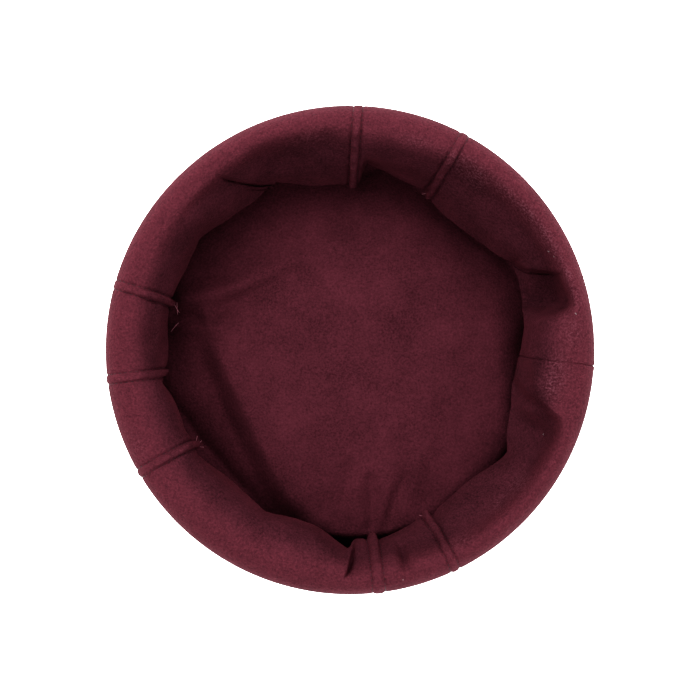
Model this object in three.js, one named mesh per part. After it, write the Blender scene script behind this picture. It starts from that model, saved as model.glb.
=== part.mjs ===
// A pakol: a soft round hat of brushed fleece, lying upside down on its crown with the opening up.
// Two sewn pieces: the crown, a disc of cloth, and the rolled band, one strip that stands on the
// crown's edge, rolls over the rim and hangs down inside to a raw hem.
// Millimetres, +Z up, origin on the surface under the middle of the crown.

import * as THREE from 'three';

// ---- Driving dimensions ----
const HAT_RADIUS = 125;        // widest part of the band
const HAT_HEIGHT = 70;         // crown face to the crest of the roll
const CLOTH = 2.4;             // one layer of brushed fleece
const SEAM_GAP = 0.3;          // between the crown and the band along the seam
const CROWN_RADIUS = 119.8;    // crown seam
const ALLOWANCE_HEIGHT = 8;    // top of the crown's turned-up edge, inside the band
const TUCK_HALF_WIDTH = 2.1;   // a pin tuck, stitched along its foot
const TUCK_HEIGHT_OUTSIDE = 0.4;
const TUCK_OVERHANG = 0.9;     // how far a tuck's end stands past the hem
const CROWN_EDGE_ROUNDING = 1; // how far the crown's seam edge is rounded over
const CROWN_LIFT = 16;         // how far the loose middle of the crown stands off the surface

const BURGUNDY = 0x6b2a36;

// ---- The lines that run from the crown seam over the roll to the hem ----
// Each line's angle in degrees (from +X towards +Y) on the rim, half way down the inside, and at the
// hem. A fold also has a hollow beside it: on which side, how deep, how wide, how soft its edge is,
// out to which radius it reaches, how soft its brow is there, and the height at which the cloth in
// it comes to rest over the crown.
const LINES = [
  { name: 'seam_lobe_edge', kind: 'fold', rim: 11.5, inside: 9.5, hem: 12,
    side: 1, depth: 17, spread: 8, edge: 8, top: 116, brow: 7, rest: 11 },
  { name: 'right_lap', kind: 'fold', rim: 20.3, inside: 21.8, hem: 29,
    side: -1, depth: 16, spread: 9, edge: 4, top: 116, brow: 7, rest: 9 },
  { name: 'tuck_2', kind: 'tuck', rim: 62, inside: 62.3, hem: 63.5, height: 1.5 },
  { name: 'upper_notch', kind: 'notch', rim: 83.5, inside: 84.4, hem: 84.8 },
  { name: 'tuck_1', kind: 'tuck', rim: 88, inside: 88.6, hem: 89, height: 1.7 },
  { name: 'left_lap', kind: 'fold', rim: 127, inside: 121.5, hem: 114.6,
    side: 1, depth: 16, spread: 12, edge: 4, top: 111, brow: 7, rest: 8 },
  { name: 'tuck_8', kind: 'tuck', rim: 164.4, inside: 164.7, hem: 165.3, height: 1.6 },
  { name: 'tuck_7', kind: 'tuck', rim: 187, inside: 187, hem: 187, height: 1 },
  { name: 'tuck_6', kind: 'tuck', rim: 210.4, inside: 210.6, hem: 211.8, height: 1.3 },
  { name: 'lower_lap', kind: 'fold', rim: 269.2, inside: 268.4, hem: 264.4,
    side: 1, depth: 13, spread: 5, edge: 6, top: 116, brow: 7, rest: 17 },
  { name: 'tuck_5', kind: 'tuck', rim: 277, inside: 276.8, hem: 277.5, height: 1.8 },
  { name: 'tuck_4', kind: 'tuck', rim: 295.6, inside: 295.8, hem: 294.6, height: 1.4 },
  { name: 'seam_lobe_fold', kind: 'fold', rim: 340.5, inside: 345, hem: 352.5,
    side: -1, depth: 10, spread: 12, edge: 6, top: 115, brow: 7, rest: 20 },
  { name: 'closing_seam', kind: 'seam', rim: 356.3, inside: 357, hem: 358 },
];

// ---- The hem's lobes ----
// Between two notches the raw hem swings in towards the middle and out again. Each row starts at a
// notch and gives the lobe's tip: angle, radius and height of both, and how the two flanks swell
// (below 1 a rounded flank from a sharp notch, above 1 a hollow one).
const LOBES = [
  { notch: 28.5, notchR: 96.8, notchZ: 19, tip: 53, tipR: 85.8, tipZ: 14, swell: 0.65, fade: 0.6 },
  { notch: 63.4, notchR: 92.4, notchZ: 15, tip: 68.5, tipR: 92.4, tipZ: 15, swell: 0.6, fade: 1.2 },
  { notch: 84.8, notchR: 96.2, notchZ: 16, tip: 88.4, tipR: 86.8, tipZ: 14, swell: 0.6, fade: 1 },
  { notch: 91, notchR: 87.2, notchZ: 13, tip: 96, tipR: 87.4, tipZ: 13, swell: 1, fade: 2 },
  { notch: 115.2, notchR: 97, notchZ: 18, tip: 128, tipR: 92.4, tipZ: 20, swell: 0.9, fade: 1.1 },
  { notch: 143.8, notchR: 97.6, notchZ: 22, tip: 156, tipR: 95.5, tipZ: 24, swell: 0.7, fade: 1.2 },
  { notch: 166.8, notchR: 97, notchZ: 27, tip: 180, tipR: 94.8, tipZ: 28, swell: 0.9, fade: 0.3 },
  { notch: 189.6, notchR: 101, notchZ: 26, tip: 200.5, tipR: 94.5, tipZ: 26, swell: 0.6, fade: 1.4 },
  { notch: 206, notchR: 95.8, notchZ: 26, tip: 210.8, tipR: 94, tipZ: 25, swell: 1, fade: 0.5 },
  { notch: 213.9, notchR: 97.5, notchZ: 24, tip: 231, tipR: 92.2, tipZ: 24, swell: 0.8, fade: 0.8 },
  { notch: 242.2, notchR: 95.5, notchZ: 25, tip: 252, tipR: 92.3, tipZ: 27, swell: 0.8, fade: 1.3 },
  { notch: 268, notchR: 100.6, notchZ: 26, tip: 272.5, tipR: 98.8, tipZ: 26, swell: 1, fade: 1 },
  { notch: 279.5, notchR: 99, notchZ: 26, tip: 294.4, tipR: 95.2, tipZ: 25, swell: 1.2, fade: 0.8 },
  { notch: 297, notchR: 96.8, notchZ: 24, tip: 309, tipR: 92.1, tipZ: 27, swell: 0.5, fade: 1.5 },
  { notch: 327, notchR: 97, notchZ: 24, tip: 348.5, tipR: 86.9, tipZ: 26, swell: 0.9, fade: 1.8 },
];

// ---- The outer wall ----
// The section's corners from the crown seam over the rim: distance past the hat's radius, and height
// as a part of the hat's height. The last is the shoulder, which moves out with the roll.
const WALL = [
  { past: -2.4, height: 0.17 },
  { past: -0.1, height: 0.38 },
  { past: 0.4, height: 0.60 },
  { past: 0.2, height: 0.82 },
  { past: -3.8, height: 0.985 },
];
const SHOULDER = { height: 1.02, innerR: 109.5, outerR: 114, fromBreakR: 100, toBreakR: 109 };

// ---- How the inside of the roll falls away ----
// The radius and height where the roll turns down into the inner wall, and how far the wall below
// bellies out towards the middle.
const FALL = [
  { at: 2, breakR: 96.5, breakZ: 66, belly: 0.5 },
  { at: 8, breakR: 99.5, breakZ: 62, belly: 1 },
  { at: 13.5, breakR: 112.5, breakZ: 43, belly: 0 },
  { at: 24, breakR: 109, breakZ: 52, belly: 3 },
  { at: 56, breakR: 106, breakZ: 54, belly: 3 },
  { at: 70, breakR: 101, breakZ: 59, belly: 1 },
  { at: 86, breakR: 100, breakZ: 60, belly: 1 },
  { at: 98, breakR: 103, breakZ: 56, belly: 3 },
  { at: 110, breakR: 106, breakZ: 50, belly: 2 },
  { at: 122, breakR: 104.5, breakZ: 55, belly: 0.5 },
  { at: 140, breakR: 102, breakZ: 60, belly: 1.5 },
  { at: 152, breakR: 100.5, breakZ: 61, belly: 2 },
  { at: 163, breakR: 99.5, breakZ: 62, belly: 2 },
  { at: 176, breakR: 100, breakZ: 62, belly: -0.5 },
  { at: 186, breakR: 99.5, breakZ: 64, belly: 1 },
  { at: 192, breakR: 97.5, breakZ: 65, belly: 2 },
  { at: 200, breakR: 96, breakZ: 65, belly: 2 },
  { at: 215, breakR: 97, breakZ: 65, belly: 3 },
  { at: 230, breakR: 97, breakZ: 66, belly: 3.5 },
  { at: 258, breakR: 97.5, breakZ: 66, belly: 3.5 },
  { at: 273, breakR: 104, breakZ: 57, belly: 1 },
  { at: 283, breakR: 105, breakZ: 55, belly: 1.5 },
  { at: 290, breakR: 106, breakZ: 55, belly: 2 },
  { at: 303, breakR: 108.5, breakZ: 52, belly: 3 },
  { at: 325, breakR: 110.5, breakZ: 50, belly: 2.5 },
  { at: 336, breakR: 111.5, breakZ: 49, belly: 1 },
  { at: 342.5, breakR: 100.5, breakZ: 66, belly: 0 },
  { at: 349, breakR: 94, breakZ: 70, belly: -1.5 },
  { at: 356, breakR: 94.5, breakZ: 69, belly: -1 },
];

// Soft dents in the inner wall: angle, radius, depth, and half width round the hat and inwards.
const DENTS = [
  { at: 112, radius: 105, depth: 4.6, around: 8, inward: 4 },
  { at: 97.5, radius: 106, depth: 4.6, around: 8, inward: 4.5 },
  { at: 285, radius: 110.5, depth: 5.5, around: 4, inward: 6 },
  { at: 280.8, radius: 107, depth: -1.2, around: 2.5, inward: 6 },
  { at: 289.6, radius: 108, depth: -1.2, around: 3, inward: 6 },
  { at: 156, radius: 99, depth: 1.4, around: 12, inward: 4 },
  { at: 54, radius: 107, depth: 1.2, around: 9, inward: 4 },
  { at: 37, radius: 108.5, depth: 1.6, around: 9, inward: 4 },
  { at: 321, radius: 108, depth: 1.2, around: 8, inward: 4 },
  { at: 245, radius: 103, depth: 1.2, around: 8, inward: 5 },
  { at: 176, radius: 100, depth: 1.2, around: 8, inward: 4 },
  { at: 272.5, radius: 107, depth: 4, around: 4, inward: 7 },
];

// ---- Soft rucks in the loose cloth of the crown ----
// Straight rucks by their two ends, with height (below 0 a furrow) and half width.
const RUCKS = [
  { x0: -88, y0: 27, x1: -58, y1: 33, height: 3, width: 5 },
  { x0: -58, y0: 33, x1: -3, y1: 54, height: 2, width: 7 },
  { x0: -70, y0: 20, x1: -28, y1: 42, height: -2.2, width: 4 },
  { x0: -91, y0: 19, x1: -80, y1: 17, height: -2, width: 4 },
  { x0: -89, y0: 12, x1: -70, y1: 11, height: 1.4, width: 4 },
  { x0: 3, y0: -72, x1: 6, y1: -90, height: 1.2, width: 3 },
  { x0: 11, y0: -68, x1: 12, y1: -92, height: -2.2, width: 3 },
  { x0: 29, y0: -68, x1: 19, y1: -93, height: -2.2, width: 3.5 },
  { x0: 37, y0: -58, x1: 27, y1: -86, height: 1.5, width: 4 },
  { x0: 20, y0: -22, x1: 49, y1: -46, height: -1.3, width: 6 },
];
// How the lifted middle is domed: the radius where it starts to fall and where it meets the surface.
const DOME = [
  { at: 0, brow: 74, foot: 93 },
  { at: 18, brow: 64, foot: 98 },
  { at: 30, brow: 56, foot: 95 },
  { at: 42, brow: 54, foot: 88 },
  { at: 55, brow: 52, foot: 87 },
  { at: 64, brow: 50, foot: 91 },
  { at: 78, brow: 44, foot: 98 },
  { at: 90, brow: 42, foot: 92 },
  { at: 110, brow: 36, foot: 97 },
  { at: 130, brow: 36, foot: 100 },
  { at: 148, brow: 38, foot: 104 },
  { at: 162, brow: 50, foot: 106 },
  { at: 175, brow: 58, foot: 98 },
  { at: 190, brow: 70, foot: 104 },
  { at: 205, brow: 74, foot: 100 },
  { at: 220, brow: 76, foot: 96 },
  { at: 240, brow: 80, foot: 98 },
  { at: 252, brow: 82, foot: 100 },
  { at: 261, brow: 88, foot: 107 },
  { at: 270, brow: 94, foot: 112 },
  { at: 290, brow: 94, foot: 112 },
  { at: 310, brow: 88, foot: 106 },
  { at: 330, brow: 86, foot: 106 },
  { at: 345, brow: 80, foot: 96 },
];

// The long crease where the middle is let down on one side, an arc of a wide circle that fades out
// between two distances along +Y, and a low roll of cloth beside it.
const CREASE = { x: 490, y: 215, radius: 606.5, fall: 14, low: -12, high: 16 };
const ROLL = { radius: 620, height: 6, width: 5, end: -62, fade: 25 };
const LIFT_INNER_RADIUS = 96;
const LIFT_OUTER_RADIUS = 108;

// ---- Mesh density ----
const FAN_STEP = 5.2;              // degrees between plain columns of the band
const TUCK_COLUMNS = [-1.15, -0.8, 0, 0.8, 1.15];   // in half widths of a tuck
const FOLD_COLUMNS = [-1.6, 0.4, 2.2, 4.2];         // millimetres from a fold, towards its hollow
const SEAM_COLUMNS = [-1.2, 0, 1.2];                // millimetres from the closing seam or a notch
const ROWS = [0, 1, 2, 3, 3.6, 4.2, 4.8, 5.4, 6, 6.6, 7.2, 7.8, 8.4, 9];
const CREST_ROW = 4.6;             // where the strip passes over the rim, counted as in ROWS
const HEM_ROW = 9;
const HEM_STEP = 0.1;              // a short step back from the hem along the strip
const TUCK_FLAT_ROW = 4.2;         // a tuck begins to stand up here
const TUCK_FULL_ROW = 6.4;
const CROWN_RINGS = [14, 28, 42, 54, 65, 75, 84, 92, 99, 105, 110];
const CROWN_SECTORS = 56;

const RAD = Math.PI / 180;

// ---- Small numeric helpers ----
function clamp(value, low, high) {
  return Math.min(high, Math.max(low, value));
}

function smooth(value) {
  const t = clamp(value, 0, 1);
  return t * t * (3 - 2 * t);
}

function lerp(a, b, t) {
  return a + (b - a) * t;
}

function turn(degrees) {
  return ((degrees % 360) + 360) % 360;
}

// Difference of two angles, from -180 to 180.
function apart(a, b) {
  return turn(a - b + 180) - 180;
}

// ---- The strip's shape ----
// Where a line lies at a row: the rim angle as far as the crest, then a parabola through the angle
// half way down and the angle at the hem.
function lineAngle(line, row) {
  const u = clamp((row - CREST_ROW) / (HEM_ROW - CREST_ROW), 0, 1);
  const onRim = (2 * u - 1) * (u - 1);
  const onInside = 4 * u * (1 - u);
  const onHem = u * (2 * u - 1);
  return line.rim * onRim + line.inside * onInside + line.hem * onHem;
}

// The hem's radius and height at an angle: a quarter sine from notch to tip, raised to the flank's
// exponent, and the same back out to the next notch.
function hemAt(angle) {
  let index = LOBES.length - 1;
  for (let i = 0; i < LOBES.length; i += 1) {
    if (LOBES[i].notch <= angle) index = i;
  }
  const lobe = LOBES[index];
  const next = LOBES[(index + 1) % LOBES.length];
  const fromNotch = turn(angle - lobe.notch);
  const toTip = turn(lobe.tip - lobe.notch);
  const width = turn(next.notch - lobe.notch);
  if (fromNotch <= toTip) {
    const reach = Math.sin(90 * RAD * fromNotch / toTip) ** lobe.swell;
    return [lerp(lobe.notchR, lobe.tipR, reach), lerp(lobe.notchZ, lobe.tipZ, reach)];
  }
  const reach = Math.sin(90 * RAD * (width - fromNotch) / (width - toTip)) ** lobe.fade;
  return [lerp(next.notchR, lobe.tipR, reach), lerp(next.notchZ, lobe.tipZ, reach)];
}

// The values of a table at an angle, eased from each of its rows to the next.
function tableAt(table, angle) {
  let index = table.length - 1;
  for (let i = 0; i < table.length; i += 1) {
    if (table[i].at <= angle) index = i;
  }
  const from = table[index];
  const to = table[(index + 1) % table.length];
  const t = smooth(turn(angle - from.at) / turn(to.at - from.at));
  return Object.fromEntries(Object.keys(from).map((key) => [key, lerp(from[key], to[key], t)]));
}

// The corners of the strip's section at an angle, from the crown seam to the hem.
function sectionCorners(angle) {
  const [hemR, hemZ] = hemAt(angle);
  const { breakR, breakZ, belly } = tableAt(FALL, angle);
  const { innerR, outerR, fromBreakR, toBreakR } = SHOULDER;
  const out = clamp((breakR - fromBreakR) / (toBreakR - fromBreakR), 0, 1);
  return [
    [CROWN_RADIUS, CLOTH + SEAM_GAP],
    ...WALL.map(({ past, height }) => [HAT_RADIUS + past, HAT_HEIGHT * height]),
    [lerp(innerR, outerR, out), HAT_HEIGHT * SHOULDER.height],
    [breakR, breakZ],
    [lerp(breakR, hemR, 0.5) - belly, lerp(breakZ, hemZ, 0.5) + belly],
    [hemR, hemZ],
  ];
}

// Uniform cubic B-spline through the section's corners, drawn so that it starts and ends on the
// first and the last of them. Returns radius and height.
function sectionPoint(angle, row) {
  const corners = sectionCorners(turn(angle));
  const last = corners.length - 1;
  const span = Math.min(last - 1, Math.floor(row));
  const t = row - span;
  const corner = (i, axis) => {
    if (i < 0) return 2 * corners[0][axis] - corners[1][axis];
    if (i > last) return 2 * corners[last][axis] - corners[last - 1][axis];
    return corners[i][axis];
  };
  const weights = [
    (1 - t) ** 3 / 6,
    (3 * t ** 3 - 6 * t ** 2 + 4) / 6,
    (-3 * t ** 3 + 3 * t ** 2 + 3 * t + 1) / 6,
    t ** 3 / 6,
  ];
  const along = (axis) => weights.reduce((sum, w, k) => sum + w * corner(span - 1 + k, axis), 0);
  return [along(0), along(1)];
}

// How far the cloth drops beside the folds: nothing on the fold's own side, the full depth just past
// its edge, easing back to nothing over its spread and up towards the rim, and never below the
// height where it comes to rest.
function hollowDrop(angle, row, radius, height) {
  let drop = 0;
  for (const line of LINES) {
    if (line.kind !== 'fold') continue;
    const beside = line.side * apart(angle, lineAngle(line, row));
    const edge = smooth(beside * RAD * radius / line.edge);
    const ease = Math.exp(-((Math.max(0, beside) / line.spread) ** 2));
    const below = row < CREST_ROW ? 0 : smooth((line.top - radius) / line.brow);
    drop += Math.min(line.depth * edge * ease * below, Math.max(0, height - drop - line.rest));
  }
  return drop;
}

// How far the cloth drops in the soft dents.
function dentDrop(angle, row, radius) {
  if (row < CREST_ROW) return 0;
  return DENTS.reduce((drop, dent) => {
    const around = apart(angle, dent.at) * RAD * dent.radius / dent.around;
    const inward = (radius - dent.radius) / dent.inward;
    return drop + dent.depth * Math.exp(-(around ** 2) - inward ** 2);
  }, 0);
}

function stripPoint(angle, row) {
  const [radius, height] = sectionPoint(angle, row);
  const drop = hollowDrop(angle, row, radius, height) + dentDrop(angle, row, radius);
  const [x, y] = [radius * Math.cos(angle * RAD), radius * Math.sin(angle * RAD)];
  return new THREE.Vector3(x, y, height - drop);
}

// ---- The columns of the band's grid ----
// Each column is held by one line, at a distance in millimetres, or lies part way between the last
// column of one line and the first of the next.
function columnOffsets(line) {
  if (line.kind === 'tuck') return TUCK_COLUMNS.map((k) => k * TUCK_HALF_WIDTH);
  if (line.kind !== 'fold') return SEAM_COLUMNS;
  return FOLD_COLUMNS.map((mm) => mm * line.side).sort((a, b) => a - b);
}

function heldAngle(line, offset, row) {
  const angle = lineAngle(line, row);
  const [radius] = sectionPoint(angle, row);
  return angle + offset / radius / RAD;
}

function bandColumns() {
  const columns = [];
  LINES.forEach((line, index) => {
    const next = LINES[(index + 1) % LINES.length];
    const offsets = columnOffsets(line);
    for (const offset of offsets) {
      columns.push({ line, offset, angleAt: (row) => heldAngle(line, offset, row) });
    }
    const start = (row) => heldAngle(line, offsets[offsets.length - 1], row);
    const end = (row) => heldAngle(next, columnOffsets(next)[0], row);
    const width = turn(end(0) - start(0));
    const count = Math.max(1, Math.round(width / FAN_STEP));
    for (let i = 1; i < count; i += 1) {
      const angleAt = (row) => start(row) + turn(end(row) - start(row)) * (i / count);
      columns.push({ line: null, offset: 0, angleAt });
    }
  });
  return columns;
}

// How far a tuck stands off the strip at a column and row: nearly flat over the rim, and up to its
// full height on the inside.
function tuckRise(column, row) {
  if (!column.line || column.line.kind !== 'tuck') return 0;
  const inside = smooth((row - TUCK_FLAT_ROW) / (TUCK_FULL_ROW - TUCK_FLAT_ROW));
  const height = lerp(TUCK_HEIGHT_OUTSIDE, column.line.height, inside);
  return Math.abs(column.offset) < TUCK_HALF_WIDTH ? height : 0;
}

function stripNormal(angle, row) {
  const step = 0.5;
  const nudge = 0.06;
  const around = stripPoint(angle + step, row).sub(stripPoint(angle - step, row));
  const low = Math.max(0, row - nudge);
  const high = Math.min(HEM_ROW, row + nudge);
  const along = stripPoint(angle, high).sub(stripPoint(angle, low));
  return around.cross(along).normalize();
}

// ---- Meshes ----
function meshOf(points, triangles, name) {
  const geometry = new THREE.BufferGeometry();
  const flat = points.flatMap((p) => [p.x, p.y, p.z]);
  geometry.setAttribute('position', new THREE.Float32BufferAttribute(flat, 3));
  geometry.setIndex(triangles);
  geometry.computeVertexNormals();
  const cloth = new THREE.MeshStandardMaterial({ color: BURGUNDY, roughness: 0.95, metalness: 0 });
  cloth.name = `${name}_fleece`;
  const mesh = new THREE.Mesh(geometry, cloth);
  mesh.name = name;
  return mesh;
}

// Joins closed loops of equal length, each to the next, into the triangles of a tube. A wall's two
// faces get the same diagonals: where turned says so, a quad is cut along its other diagonal.
function tubeTriangles(loops, length, turned) {
  const triangles = [];
  for (let a = 0; a < loops; a += 1) {
    const b = (a + 1) % loops;
    for (let i = 0; i < length; i += 1) {
      const j = (i + 1) % length;
      const [p, q, r, s] = [a * length + i, a * length + j, b * length + j, b * length + i];
      const cut = turned(a, i) ? [p, q, s, q, r, s] : [p, q, r, p, r, s];
      triangles.push(...cut);
    }
  }
  return triangles;
}

// The band: each column is one closed loop, along the cloth's hidden face to the hem and back along
// its outer face, one cloth thickness in front.
function rolledBand() {
  const columns = bandColumns();
  const points = [];
  for (const column of columns) {
    const faces = ROWS.map((row) => {
      const angle = column.angleAt(row);
      const base = stripPoint(angle, row);
      const normal = stripNormal(angle, row);
      const rise = tuckRise(column, row);
      const face = base.clone().addScaledVector(normal, rise);
      const back = base.clone().addScaledVector(normal, -CLOTH);
      if (row === HEM_ROW && rise > 0) {
        const pastHem = stripPoint(angle, HEM_ROW).sub(stripPoint(angle, HEM_ROW - HEM_STEP));
        face.addScaledVector(pastHem.normalize(), TUCK_OVERHANG);
        back.addScaledVector(pastHem, TUCK_OVERHANG);
      }
      if (row === 0) back.z = base.z;
      return { face, back };
    });
    points.push(...faces.map((f) => f.back), ...faces.map((f) => f.face).reverse());
  }
  const onFace = (_, i) => i >= ROWS.length;
  return meshOf(points, tubeTriangles(columns.length, ROWS.length * 2, onFace), 'rolled_band');
}

// How far the crown's cloth stands off the surface: a parabolic dome, let down past the long crease
// and raised again in the roll beside it, with the rucks across it, and flat towards the seam.
function crownLift(x, y) {
  const radius = Math.hypot(x, y);
  const { brow, foot } = tableAt(DOME, turn(Math.atan2(y, x) / RAD));
  const dome = 1 - clamp((radius - brow) / (foot - brow), 0, 1) ** 2;
  const out = Math.hypot(x - CREASE.x, y - CREASE.y);
  const past = smooth(0.5 + (out - CREASE.radius) / CREASE.fall);
  const kept = 1 - past * smooth((CREASE.high - y) / (CREASE.high - CREASE.low));
  const roll = Math.exp(-(((out - ROLL.radius) / ROLL.width) ** 2)) * smooth((y - ROLL.end) / ROLL.fade);
  const rim = smooth((LIFT_OUTER_RADIUS - radius) / (LIFT_OUTER_RADIUS - LIFT_INNER_RADIUS));
  let lift = dome * (CROWN_LIFT * kept + ROLL.height * roll);
  for (const ruck of RUCKS) {
    const [dx, dy] = [ruck.x1 - ruck.x0, ruck.y1 - ruck.y0];
    const along = ((x - ruck.x0) * dx + (y - ruck.y0) * dy) / (dx * dx + dy * dy);
    const t = clamp(along, 0, 1);
    const away = Math.hypot(x - ruck.x0 - dx * t, y - ruck.y0 - dy * t);
    lift += ruck.height * Math.exp(-((away / ruck.width) ** 2));
  }
  return Math.max(0, lift) * rim;
}

// The crown: a disc of cloth whose edge is turned up inside the band.
function crown() {
  const lipOuter = CROWN_RADIUS - CLOTH - SEAM_GAP;
  const lipInner = lipOuter - CLOTH;
  const profile = [
    ...CROWN_RINGS.map((r) => [r, 0]),
    [CROWN_RADIUS - CROWN_EDGE_ROUNDING, 0],
    [CROWN_RADIUS, CLOTH / 2],
    [CROWN_RADIUS - CROWN_EDGE_ROUNDING, CLOTH],
    [lipOuter, CLOTH],
    [lipOuter, ALLOWANCE_HEIGHT],
    [lipInner, ALLOWANCE_HEIGHT],
    [lipInner, CLOTH],
    ...CROWN_RINGS.map((r) => [r, CLOTH]).reverse(),
  ];
  const points = [];
  for (const [radius, z] of profile) {
    for (let i = 0; i < CROWN_SECTORS; i += 1) {
      const angle = i * 2 * Math.PI / CROWN_SECTORS;
      const [x, y] = [radius * Math.cos(angle), radius * Math.sin(angle)];
      const lift = radius <= CROWN_RINGS[CROWN_RINGS.length - 1] ? crownLift(x, y) : 0;
      points.push(new THREE.Vector3(x, y, z + lift));
    }
  }
  const onTop = (a) => a > profile.length / 2;
  const triangles = tubeTriangles(profile.length, CROWN_SECTORS, onTop);
  triangles.splice(triangles.length - 6 * CROWN_SECTORS);
  const under = points.push(new THREE.Vector3(0, 0, crownLift(0, 0))) - 1;
  const over = points.push(new THREE.Vector3(0, 0, CLOTH + crownLift(0, 0))) - 1;
  const topRing = (profile.length - 1) * CROWN_SECTORS;
  for (let i = 0; i < CROWN_SECTORS; i += 1) {
    const j = (i + 1) % CROWN_SECTORS;
    triangles.push(under, j, i);
    triangles.push(over, topRing + i, topRing + j);
  }
  return meshOf(points, triangles, 'crown');
}

const pakol = new THREE.Group();
pakol.add(crown(), rolledBand());

export default pakol;
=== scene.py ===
"""A burgundy fleece pakol, lying on its crown with the opening up, on a pale table."""

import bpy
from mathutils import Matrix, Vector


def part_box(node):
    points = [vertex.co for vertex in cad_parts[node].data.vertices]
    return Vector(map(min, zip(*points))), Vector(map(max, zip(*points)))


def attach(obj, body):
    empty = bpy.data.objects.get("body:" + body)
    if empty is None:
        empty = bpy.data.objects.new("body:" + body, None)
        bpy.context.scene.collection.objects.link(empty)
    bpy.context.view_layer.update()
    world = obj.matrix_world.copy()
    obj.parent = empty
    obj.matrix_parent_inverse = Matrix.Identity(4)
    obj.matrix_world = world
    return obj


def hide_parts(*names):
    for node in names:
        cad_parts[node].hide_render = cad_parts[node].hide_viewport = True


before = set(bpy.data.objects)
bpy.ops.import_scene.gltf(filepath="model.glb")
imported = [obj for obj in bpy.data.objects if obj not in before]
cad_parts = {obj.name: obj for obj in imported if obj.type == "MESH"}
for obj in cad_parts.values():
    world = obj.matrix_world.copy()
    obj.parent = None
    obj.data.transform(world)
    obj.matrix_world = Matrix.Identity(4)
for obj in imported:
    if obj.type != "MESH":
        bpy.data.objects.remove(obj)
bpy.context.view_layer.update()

import math

import bpy
import numpy as np
from mathutils import Vector

# ======================================================================================
# The rolled band
# One strip of heavy brushed fleece, about 120 mm wide and 780 mm round. It is sewn to the crown
# along its lower edge, rolls over the rim and hangs back down inside to a raw, uneven hem. Seven
# pin tucks are stitched across it and its ends are joined in one plain seam.
# ======================================================================================
MM = 0.001                     # lengths are in millimetres until they go into a mesh
(crown_low_x, _, _), (crown_high_x, _, _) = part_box("crown")
CROWN_RADIUS = (crown_high_x - crown_low_x) / 2 / MM
HAT_RADIUS = 125.0             # widest part of the band
HAT_HEIGHT = 70.0              # table to the crest of the roll
CLOTH = 2.4                    # one layer of fleece
SEAM_GAP = 0.3                 # between the crown and the band along the seam
HEM_ROUNDING = 0.4             # how far the cut edge bulges, in thicknesses of the cloth

# A row counts the corners of the strip's section, from the crown seam.
ROLL_ROW = 4.0                 # where the wall starts to turn over the rim
CREST_ROW = 4.6                # where the strip passes over the rim
HEM_ROW = 9.0                  # the last corner

# The section's corners from the crown seam to the rim, the same all round.
WALL = np.array([
    # radius, height
    (CROWN_RADIUS, CLOTH + SEAM_GAP),
    (CROWN_RADIUS + 2.8, HAT_HEIGHT * 0.17),
    (HAT_RADIUS - 0.1, HAT_HEIGHT * 0.38),
    (HAT_RADIUS + 0.4, HAT_HEIGHT * 0.60),
    (HAT_RADIUS + 0.2, HAT_HEIGHT * 0.82),
    (HAT_RADIUS - 3.8, HAT_HEIGHT * 0.985),
], dtype=[("radius", float), ("height", float)])

# The next corner, the roll's inner shoulder, moves out with the place where the roll falls away.
SHOULDER_HEIGHT = HAT_HEIGHT * 1.02
SHOULDER_RADIUS, SHOULDER_SHIFT = 109.5, 4.5
SHIFT_START, SHIFT_RANGE = 100.0, 9.0      # of the radius where the roll falls away

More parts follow.
